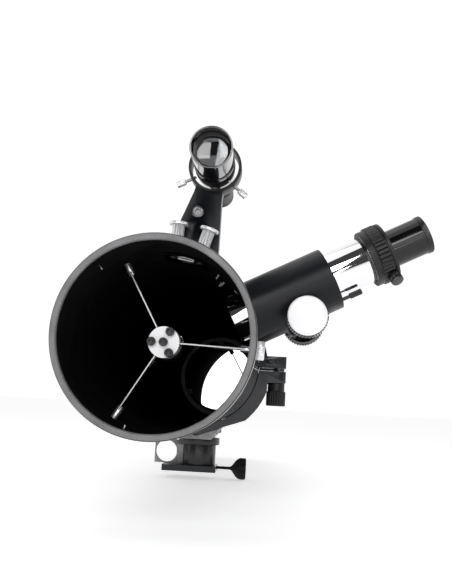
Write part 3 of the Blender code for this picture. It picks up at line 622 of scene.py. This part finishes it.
def make_focuser_body():
    offset = FOCUSER @ at(0.0019, 0, 0)
    rows = [(0, HOUSING_TOP), (HOUSING_R, HOUSING_TOP), (HOUSING_R, HOUSING_FOOT),
            (0, HOUSING_FOOT)]
    housing = lathe("housing", eased(rows, 0.0006), offset, SATIN_BLACK, steps=160)
    wall = plug(SEAT_R, -0.01, 0.9, TUBE, steps=192)
    carve(housing,
          ("UNION", block("bump", (0.012, *PINION_COVER_LOW), (0.0308, *PINION_COVER_HIGH),
                          FOCUSER)),
          ("DIFFERENCE", wall),
          ("DIFFERENCE", plug(DRAWTUBE_R + 0.0004, 0.050, 0.150, FOCUSER, steps=120)),
          ("DIFFERENCE", block("groove", (0.015, -0.0043, 0.050), (0.0226, 0.0043, 0.150),
                               FOCUSER, bevel=0)),
          ("DIFFERENCE", block("pocket", (0.019, -0.006, PINION_HEIGHT - 0.0058),
                               (0.032, 0.006, PINION_HEIGHT + 0.0058), FOCUSER, bevel=0)),
          ("DIFFERENCE", plug(0.0028, -0.030, 0.030,
                              FOCUSER @ at(PINION_X, 0, PINION_HEIGHT) @ ALONG_Y, steps=32)))
    stands_for(housing, "focuser_housing")

    cover = block("cover", (0.0311, *PINION_COVER_LOW), (0.0329, *PINION_COVER_HIGH), FOCUSER,
                  SATIN_BLACK)
    detail(cover, "pinion_cover", "ota", "satin_black")
    for index, (y, z) in enumerate(((-0.0105, 0.0975), (0.0105, 0.0975), (-0.0105, 0.1245),
                                    (0.0105, 0.1245))):
        rows = [(0, 0.0331), (hexagon(0.0015), 0.0333), (hexagon(0.0016), 0.0341),
                (0.0018, 0.0342), (0.0023, 0.0338), (0.0024, 0.0330), (0, 0.0330)]
        screw = lathe("screw", rows, FOCUSER @ at(0, y, z) @ ALONG_X, BLACK_OXIDE, steps=48)
        detail(screw, f"pinion_cover_screw_{index + 1}", "ota", "black_steel")

    grip = ribbed(0.0024, 20, 0.0003)
    rows = [(0, 0.1623), (0.0019, 0.1623), (0.0022, 0.1621), (grip, 0.1618), (grip, 0.1520),
            (0.0022, 0.1516), (0.0015, 0.1515), (0.0015, 0.1320), (0, 0.1320)]
    lock = lathe("lock", rows, FOCUSER @ at(0.0226, -0.0075, 0), BLACK_OXIDE, steps=120)
    stands_for(lock, "focuser_lock_screw")


def make_drawtube():
    drawtube = lathe("drawtube", eased([(DRAWTUBE_R, 0.1837), (DRAWTUBE_R, 0.0558),
                                        (DRAWTUBE_BORE_R, 0.0558), (DRAWTUBE_BORE_R, 0.1837)],
                                       0.0004), FOCUSER, CHROME, MATT_BLACK, steps=160)
    into_focuser = FOCUSER.inverted()

    def in_bore(middle):
        local = into_focuser @ middle
        return math.hypot(local.x, local.y) < DRAWTUBE_BORE_R + 0.0002
    paint_inside(drawtube, in_bore)
    stands_for(drawtube, "drawtube")
    dress("focus_rack", SATIN_SILVER, 0.0001)

    collar_ribs = 42
    grip = ribbed(0.0250, collar_ribs, 0.0011, 5.0)
    rows = [(0.0237, 0.1977), (0.0242, 0.1976), (0.0245, 0.1973), (0.0245, 0.1952),
            (0.0243, 0.1950), (0.0235, 0.1949), (0.0235, 0.1941), (0.0243, 0.1940),
            (grip, 0.1936), (grip, 0.1848), (0.0243, 0.1843), (0.0239, 0.1840),
            (0.0240, 0.1834), (0.0240, 0.1788), (0.0236, 0.1784), (0.0200, 0.1784),
            (0.0199, 0.1786), (0.0199, 0.1840), (0.01595, 0.1840), (0.01595, 0.1972),
            (0.0163, 0.1977)]
    collar = lathe("collar", rows, FOCUSER, PLASTIC, steps=10 * collar_ribs)
    stands_for(collar, "eyepiece_collar")

    aim = Vector((1.35, -0.9, 0)).to_track_quat("Z", "Y").to_matrix().to_4x4()
    grip = ribbed(0.0052, 28, 0.0003)
    rows = [(0, 0.0340), (0.0044, 0.0340), (0.0049, 0.0338), (grip, 0.0334), (grip, 0.0262),
            (0.0049, 0.0258), (0.0030, 0.0256), (0.0015, 0.0256), (0.0015, 0.0163),
            (0, 0.0163)]
    screw = lathe("thumb_screw", rows, FOCUSER @ at(0, 0, 0.1905) @ aim, DARK_STEEL,
                  steps=168, sharp=75)
    stands_for(screw, "eyepiece_thumb_screw")


def make_eyepiece():
    grip = ribbed(0.0163, 72, 0.00025)
    rows = [(0.0150, 0.2324), (0.0158, 0.2324), (0.0162, 0.2322), (grip, 0.2318),
            (grip, 0.2283), (0.0161, 0.2280), (0.0157, 0.2277), (0.01565, 0.2274),
            (0.01565, 0.1725), (0.0153, 0.1720), (0.0126, 0.1720), (0.0123, 0.1723),
            (0.0123, 0.2265), (0.0090, 0.2265), (0.0100, 0.2282), (0.0112, 0.2300),
            (0.0130, 0.2316)]
    body = lathe("eyepiece", rows, FOCUSER, GLOSS_BLACK, steps=288)
    stands_for(body, "eyepiece_body")
    rows = [(0, 0.2262), (0.0080, 0.2262), (0.0116, 0.2253), (0.0119, 0.2249),
            (0.0119, 0.2215), (0.0090, 0.2204), (0.0050, 0.2197), (0, 0.2195)]
    stands_for(lathe("eye_lens", rows, FOCUSER, GLASS), "eyepiece_lens")


def make_focus_knobs():
    centre = FOCUSER @ at(PINION_X, 0, PINION_HEIGHT)
    knob_ribs = 46
    dress("pinion_shaft", BRUSHED, 0.00005)
    for name, turn, knob_r in (("front", math.pi / 2, 0.0169), ("rear", -math.pi / 2, 0.0180)):
        matrix = centre @ Matrix.Rotation(turn, 4, "X")
        grip = ribbed(knob_r, knob_ribs, 0.0014)
        rows = [(0, 0.0413), (knob_r - 0.0014, 0.0413), (knob_r - 0.0009, 0.0412),
                (grip, 0.0408), (grip, 0.0362), (knob_r - 0.0009, 0.0360),
                (knob_r - 0.0009, 0.0353), (grip, 0.0351), (grip, 0.0272),
                (knob_r - 0.0008, 0.0264), (knob_r - 0.0015, 0.0263), (0.0030, 0.0263),
                (0.0028, 0.0265), (0.0028, 0.0393), (0, 0.0393)]
        knob = lathe("knob", rows, matrix, KNOB_BLACK, steps=8 * knob_ribs, sharp=50)
        stands_for(knob, f"focus_knob_{name}")
        cap_r = knob_r - 0.0013
        rows = [(0, 0.0430), (cap_r - 0.0012, 0.0430), (cap_r - 0.0005, 0.0428),
                (cap_r, 0.0423), (cap_r, 0.0414), (0, 0.0414)]
        detail(lathe("cap", rows, matrix, FACE_SILVER, steps=128), f"knob_cap_{name}",
               "focus_knobs", "satin_silver")


# Finder ----------------------------------------------------------------------------------------

def make_finder():
    profile = [(0.0130, 0.1500), (0.0130, 0.1130), (0.0170, 0.1090), (0.0170, 0.0775),
               (0.0160, 0.0770), (0.0160, 0.0750), (0.0166, 0.0745), (0.0166, 0.0440),
               (0.0170, 0.0436), (0.0170, 0.0400), (0.0156, 0.0400), (0.0156, 0.0556),
               (0.0140, 0.0556), (0.0140, 0.0700), (0.0080, 0.0700), (0.0080, 0.0715),
               (0.0115, 0.0715), (0.0115, 0.1500)]
    tube = lathe("finder", eased(profile, 0.0004), FINDER_AXIS, LACQUER, MATT_BLACK,
                 steps=160)
    into_finder = FINDER_AXIS.inverted()

    def inside(middle):
        local = into_finder @ middle
        distance = math.hypot(local.x, local.y)
        return distance < 0.0117 or (distance < 0.0143 and local.z > 0.0557)
    paint_inside(tube, inside)
    stands_for(tube, "finder_tube")

    lens_r = 0.0152
    rows = [(0, 0.0552), (0.0150, 0.0552), (lens_r, 0.0550), (lens_r, 0.0524)]
    rows += [(lens_r * step / 10, 0.0511 + 0.0011 * (step / 10) ** 2)
             for step in range(9, 0, -1)]
    rows += [(0, 0.0511)]
    stands_for(lathe("lens", rows, FINDER_AXIS, GLASS, steps=128), "finder_objective_lens")

    # A stepped ring in front of the lens narrows its opening.
    rows = [(0.0155, 0.0510), (0.0155, 0.0480), (0.0150, 0.0478), (0.0147, 0.0488),
            (0.0143, 0.0488), (0.0140, 0.0497), (0.0134, 0.0497), (0.0131, 0.0505),
            (0.0125, 0.0505), (0.0125, 0.0510)]
    detail(lathe("ring", rows, FINDER_AXIS, GLOSS_BLACK, steps=128),
           "finder_lens_ring", "ota", "gloss_black")
    grip = ribbed(0.0120, 36, 0.0005)
    rows = [(0.0106, 0.1850), (0.0112, 0.1850), (0.0118, 0.1848), (grip, 0.1844),
            (grip, 0.1762), (0.0117, 0.1758), (0.0117, 0.1748), (0.0120, 0.1744),
            (0.0120, 0.1507), (0.0117, 0.1503), (0.0112, 0.1503), (0.0112, 0.1400),
            (0.0095, 0.1400), (0.0060, 0.1700), (0.0050, 0.1780), (0.0070, 0.1826)]
    stands_for(lathe("finder_eye", rows, FINDER_AXIS, PLASTIC, steps=216), "finder_eyepiece")


def make_finder_bracket():
    front = FINDER_RING_DEPTH - 0.008
    back = FINDER_RING_DEPTH + 0.008
    right = [(0.022, 0.074), (0.0171, 0.101), (0.0133, 0.122), (0.012, 0.129), (0.011, 0.140)]
    neck = right + [(-x, z) for x, z in reversed(right)]
    bracket = prism("bracket", neck, front, back, FINDER, SATIN_BLACK, bevel=0.0006)
    rows = [(0, back + 0.0004), (0.0223, back + 0.0004), (0.0223, front - 0.0004),
            (0, front - 0.0004)]
    ring = lathe("ring", eased(rows, 0.0008), FINDER_AXIS, steps=128)
    foot = block("foot", (-0.0235, 0.066, 0.062), (0.0235, 0.112, 0.076), FINDER, bevel=0.0008)
    carve(bracket, ("UNION", ring), ("UNION", foot),
          ("DIFFERENCE", plug(0.0198, 0.060, 0.130, FINDER_AXIS, steps=128)),
          ("DIFFERENCE", plug(SEAT_R, -0.01, 0.9, TUBE, steps=192)),
          ("DIFFERENCE", block("slit", (-0.0049, 0.060, 0.0765), (-0.0039, 0.0935, 0.1060),
                               FINDER, bevel=0)))
    stands_for(bracket, "finder_bracket")

    bolt = FINDER @ at(-0.0042, front, 0.1128) @ Matrix.Rotation(math.pi / 2, 4, "X")
    rows = [(0, 0.0012), (0.0022, 0.0012), (0.0024, 0.0030), (0.0044, 0.0030),
            (0.0052, 0.0026), (0.0055, 0.0018), (0.0055, -0.0004), (0, -0.0004)]
    detail(lathe("bolt", rows, bolt, DARK_STEEL, steps=64), "bracket_bolt", "ota",
           "satin_silver")

    dress("finder_backing_plate", GLOSS_BLACK, 0.0003)
    bar = block("bar", (-0.0065, 0.062, 0.0664), (0.0065, 0.072, 0.0673), FINDER, SATIN_SILVER,
                bevel=0.0003)
    detail(bar, "finder_clamp_bar", "ota", "satin_silver")
    for index, side in enumerate((-1, 1)):
        washer = lathe("washer", eased([(0, 0.0676), (0.0045, 0.0676), (0.0045, 0.0661),
                                        (0, 0.0661)], 0.0003),
                       FINDER @ at(side * 0.0110, 0.066, 0), BLACK_OXIDE, steps=48)
        detail(washer, f"finder_washer_{index + 1}", "ota", "black_steel")
    for index, angle in enumerate(FINDER_NUT_ANGLES):
        grip = ribbed(0.0052, 12, 0.0007)
        rows = [(0, 0.1000), (0.0067, 0.1000), (0.0074, 0.0998), (0.00775, 0.0994),
                (0.00775, 0.0975), (0.0073, 0.0971), (0.0056, 0.0970), (grip, 0.0967),
                (grip, 0.0784), (0.0046, 0.0780), (0.0024, 0.0780), (0.0024, 0.0950),
                (0, 0.0950)]
        stands_for(lathe("nut", rows, radial(angle, FINDER_NUT_DEPTH), SATIN_CHROME, steps=192,
                         sharp=75), f"finder_thumb_nut_{index + 1}")
    turn = math.radians(FINDER_ANGLE)
    centre = (FINDER_HEIGHT * math.cos(turn), AXIS_Z + FINDER_HEIGHT * math.sin(turn))
    for index, angle in enumerate(FINDER_SCREW_ANGLES):
        grip = ribbed(0.00275, 20, 0.0002)
        rows = [(0, 0.0355), (0.0022, 0.0355), (0.0026, 0.0353), (grip, 0.0350),
                (grip, 0.0280), (0.0024, 0.0276), (0.0015, 0.0273)]
        pitch = 0.0007
        for thread in range(12):
            height = 0.0270 - thread * pitch
            rows += [(0.0015, height), (0.00132, height - pitch / 2)]
        rows += [(0.0011, 0.0177), (0, 0.0175)]
        stands_for(lathe("screw", rows, radial(angle, FINDER_RING_DEPTH, centre),
                         SATIN_SILVER, steps=120), f"finder_adjust_screw_{index + 1}")


# Tube rings ------------------------------------------------------------------------------------

def make_tube_rings():
    for place, offset in RING_OFFSETS.items():
        axis = at(0, offset, AXIS_Z) @ ALONG_Y
        dress(f"ring_upper_{place}", SLATE, 0.0010)
        dress(f"ring_lower_{place}", SLATE, 0.0010)
        dress(f"ring_hinge_pin_{place}", BRUSHED, 0.0003)
        dress(f"clamp_bolt_{place}", BLACK_OXIDE, 0.0002)
        rows = [(0.0715, 0.0137), (0.0715, -0.0137), (0.0713, -0.0137), (0.0713, 0.0137)]
        detail(lathe("felt", rows, axis, FELT, steps=128), f"felt_lining_{place}", "cradle",
               "black_plastic")
        grip = ribbed(0.0115, 22, 0.0009, 2.0)
        rows = [(0, -0.0404), (0.0032, -0.0404), (0.0032, -0.0179), (0.0096, -0.0179),
                (0.0100, -0.0183), (0.0100, -0.0270), (0.0106, -0.0277), (grip, -0.0284),
                (grip, -0.0443), (0.0109, -0.0450), (0.0102, -0.0453), (0, -0.0453)]
        knob = lathe("clamp", rows, at(CLAMP_X, offset, AXIS_Z), PLASTIC, steps=264)
        stands_for(knob, f"clamp_knob_{place}")
        for side, y in (("near", -0.0101), ("far", 0.0101)):
            rows = [(0, 0.0008), (0.0014, 0.0008), (0.0022, 0.0002), (0.0022, -0.0003),
                    (0, -0.0003)]
            tilt = math.pi / 2 if side == "near" else -math.pi / 2
            end = at(CLAMP_X, offset + y, AXIS_Z + 0.008) @ Matrix.Rotation(tilt, 4, "X")
            detail(lathe("pin", rows, end, BLACK_OXIDE, steps=32), f"clamp_pin_{side}_{place}",
                   "cradle", "black_steel")


# Mount head ------------------------------------------------------------------------------------

def make_mount():
    dress("mount_base_plate", SLATE, 0.0010)
    housing_low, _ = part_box("mount_housing")
    foot = housing_low[2]
    housing = lathe("head", eased([(0, 0.0324), (HEAD_R, 0.0324), (HEAD_R, foot), (0, foot)],
                                  0.0005), Matrix(), GREY_CAST, HEAD_ENAMEL, steps=128)
    carve(housing,
          ("UNION", block("neck", (-0.0270, -0.0080, foot), (-0.012, 0.0080, 0.0320), Matrix(),
                          bevel=0.0010)),
          ("UNION", block("lug", (-0.0546, -0.0035, foot), (-0.0262, 0.0035, 0.0367), Matrix(),
                          bevel=0.0006)),
          ("DIFFERENCE", plug(0.0134, -0.020, 0.020, at(-0.0402, 0, 0.0222) @ ALONG_Y,
                              steps=128)),
          ("DIFFERENCE", plug(0.0083, 0, 0.040, Matrix(), steps=64)))
    stands_for(housing, "mount_housing")
    paint_inside(housing, lambda middle: math.hypot(middle.x, middle.y) < HEAD_R + 0.0002
                 and middle.x > -0.0185)

    rows = [(0, 0.0410), (0.0250, 0.0410), (0.0255, 0.0408), (0.0257, 0.0403),
            (0.0257, 0.0334), (0.0255, 0.0329), (0.0250, 0.0327), (0.0080, 0.0327),
            (0.0080, 0.0085), (0, 0.0085)]
    stands_for(lathe("turntable", rows, Matrix(), HEAD_ENAMEL, steps=128), "turntable_flange")
    dress("saddle_block", GREY_CAST, 0.0010)

    # A grub screw in the head, and bolts up into the saddle's wings.
    rows = [(0, 0.0002), (hexagon(0.0018), 0.0004), (hexagon(0.0019), 0.0009),
            (0.0021, 0.0010), (0.0025, 0.0006), (0.0025, -0.0010), (0, -0.0010)]
    grub = Matrix.Rotation(math.radians(12), 4, "Z") @ at(0, -HEAD_R, 0.0285)
    grub = grub @ Matrix.Rotation(math.pi / 2, 4, "X")
    detail(lathe("grub", rows, grub, BLACK_OXIDE, steps=48), "head_grub_screw", "mount",
           "black_steel")
    slope = math.atan2(0.0136, 0.0090)  # of the underside of the saddle's wings
    for side, sign in (("left", -1), ("right", 1)):
        for place, offset in RING_OFFSETS.items():
            under = at(sign * 0.0232, offset, 0.0479)
            under = under @ Matrix.Rotation(sign * (math.pi - slope), 4, "Y")
            rows = [(0, 0.0018), (0.0020, 0.0018), (hexagon(0.0042), 0.0015),
                    (hexagon(0.0042), 0.0001), (0.0030, 0.0), (0.0030, -0.0006), (0, -0.0006)]
            detail(lathe("bolt", rows, under, SATIN_SILVER, steps=60),
                   f"saddle_bolt_{side}_{place}", "cradle", "satin_silver")

    grip = ribbed(0.0132, 10, 0.0011)
    rows = [(0, 0.0602), (0.0112, 0.0602), (0.0122, 0.0599), (grip, 0.0592), (grip, 0.0530),
            (0.0124, 0.0508), (0.0113, 0.0492), (0.0097, 0.0474), (0.0078, 0.0459),
            (0.0057, 0.0444), (0.0037, 0.0429), (0.0024, 0.0416), (0.0018, 0.0400),
            (0.0018, 0.0125), (0, 0.0125)]
    stands_for(lathe("head_clamp", rows, at(0, 0, 0.005) @ ALONG_X, MATT_BLACK, steps=160),
               "head_clamp_knob")


# Floor, light and camera -----------------------------------------------------------------------

def make_floor():
    level = cad_bounds[0][2] - 0.0003
    reach = 12
    glow = 0.50
    paint = surface("pale_floor", grey(0.86), grey(0.92), (0.75, 0.85), blotch=3, grain=200,
                    bump=0.02)
    shader = paint.node_tree.nodes["Principled BSDF"]
    shader.inputs["Emission Color"].default_value = (1, 1, 1, 1)
    shader.inputs["Emission Strength"].default_value = glow
    floor = put("floor", [(-reach, -reach, level), (reach, -reach, level),
                          (reach, reach, level), (-reach, reach, level)],
                [(0, 1, 2, 3)], Matrix(), [paint])


def area_light(name, place, target, size, power):
    light = bpy.data.lights.new(name, "AREA")
    light.shape = "RECTANGLE"
    light.size = size[0]
    light.size_y = size[1]
    light.energy = power
    thing = bpy.data.objects.new(name, light)
    thing.location = place
    thing.rotation_euler = (Vector(target) - Vector(place)).to_track_quat("-Z", "Y").to_euler()
    bpy.context.scene.collection.objects.link(thing)


def make_studio():
    """A white room that is open and dark on the side the tube looks towards."""
    world = bpy.data.worlds.new("studio")
    bpy.context.scene.world = world
    world.use_nodes = True
    tree = world.node_tree
    background = tree.nodes["Background"]
    coordinates = tree.nodes.new("ShaderNodeTexCoord")
    parts = tree.nodes.new("ShaderNodeSeparateXYZ")
    tree.links.new(coordinates.outputs["Generated"], parts.inputs["Vector"])
    dark = (0.05, 0.05, 0.05)
    white = (1.0, 1.0, 1.0)
    back = ramp(tree, spread(tree, parts.outputs["Y"], (-1, 1), (0, 1)),
                [(0.42, dark), (0.72, white)])
    tree.links.new(back, background.inputs["Color"])
    background.inputs["Strength"].default_value = 1.05
    area_light("top_softbox", (-0.3, -0.45, 1.5), (0.0, -0.25, 0.13), (1.2, 0.8), 3.2)
    area_light("right_softbox", (1.6, -0.35, 0.5), (0.0, -0.2, 0.13), (0.5, 1.1), 1.2)
    area_light("left_softbox", (-1.5, -0.7, 0.6), (0.0, -0.2, 0.13), (0.35, 1.0), 2.2)
    area_light("front_softbox", (-0.05, -2.4, 0.32), (0.0, -0.3, 0.15), (1.2, 0.9), 7)
    area_light("upper_left_strip", (-0.34, -1.9, 0.80), (0.0, -0.3, 0.2), (0.40, 0.45), 4.5)
    area_light("upper_right_strip", (0.30, -1.9, 0.92), (0.0, -0.3, 0.2), (0.40, 0.60), 5)
    area_light("low_strip", (0.52, -1.55, 0.14), (0.0, 0.0, 0.05), (0.10, 0.50), 0.9)


def make_camera():
    """Low in front of the tube's mouth, a little to its right, looking up along it."""
    camera = bpy.data.cameras.new("camera")
    camera.lens = 48.58
    camera.sensor_width = 36
    camera.clip_start = 0.01
    thing = bpy.data.objects.new("camera", camera)
    turn = Euler([math.radians(angle) for angle in (97.917, -2.972, 2.736)])
    place = at(0.0793, RIM_Y - 0.5458, AXIS_Z - 0.0429)
    thing.matrix_world = place @ turn.to_matrix().to_4x4()
    bpy.context.scene.collection.objects.link(thing)
    bpy.context.scene.camera = thing
    bpy.context.scene.view_settings.view_transform = "Standard"


make_tube()
make_primary()
make_spider()
make_focuser_body()
make_drawtube()
make_eyepiece()
make_focus_knobs()
make_finder()
make_finder_bracket()
make_tube_rings()
make_mount()
make_floor()
make_studio()
make_camera()
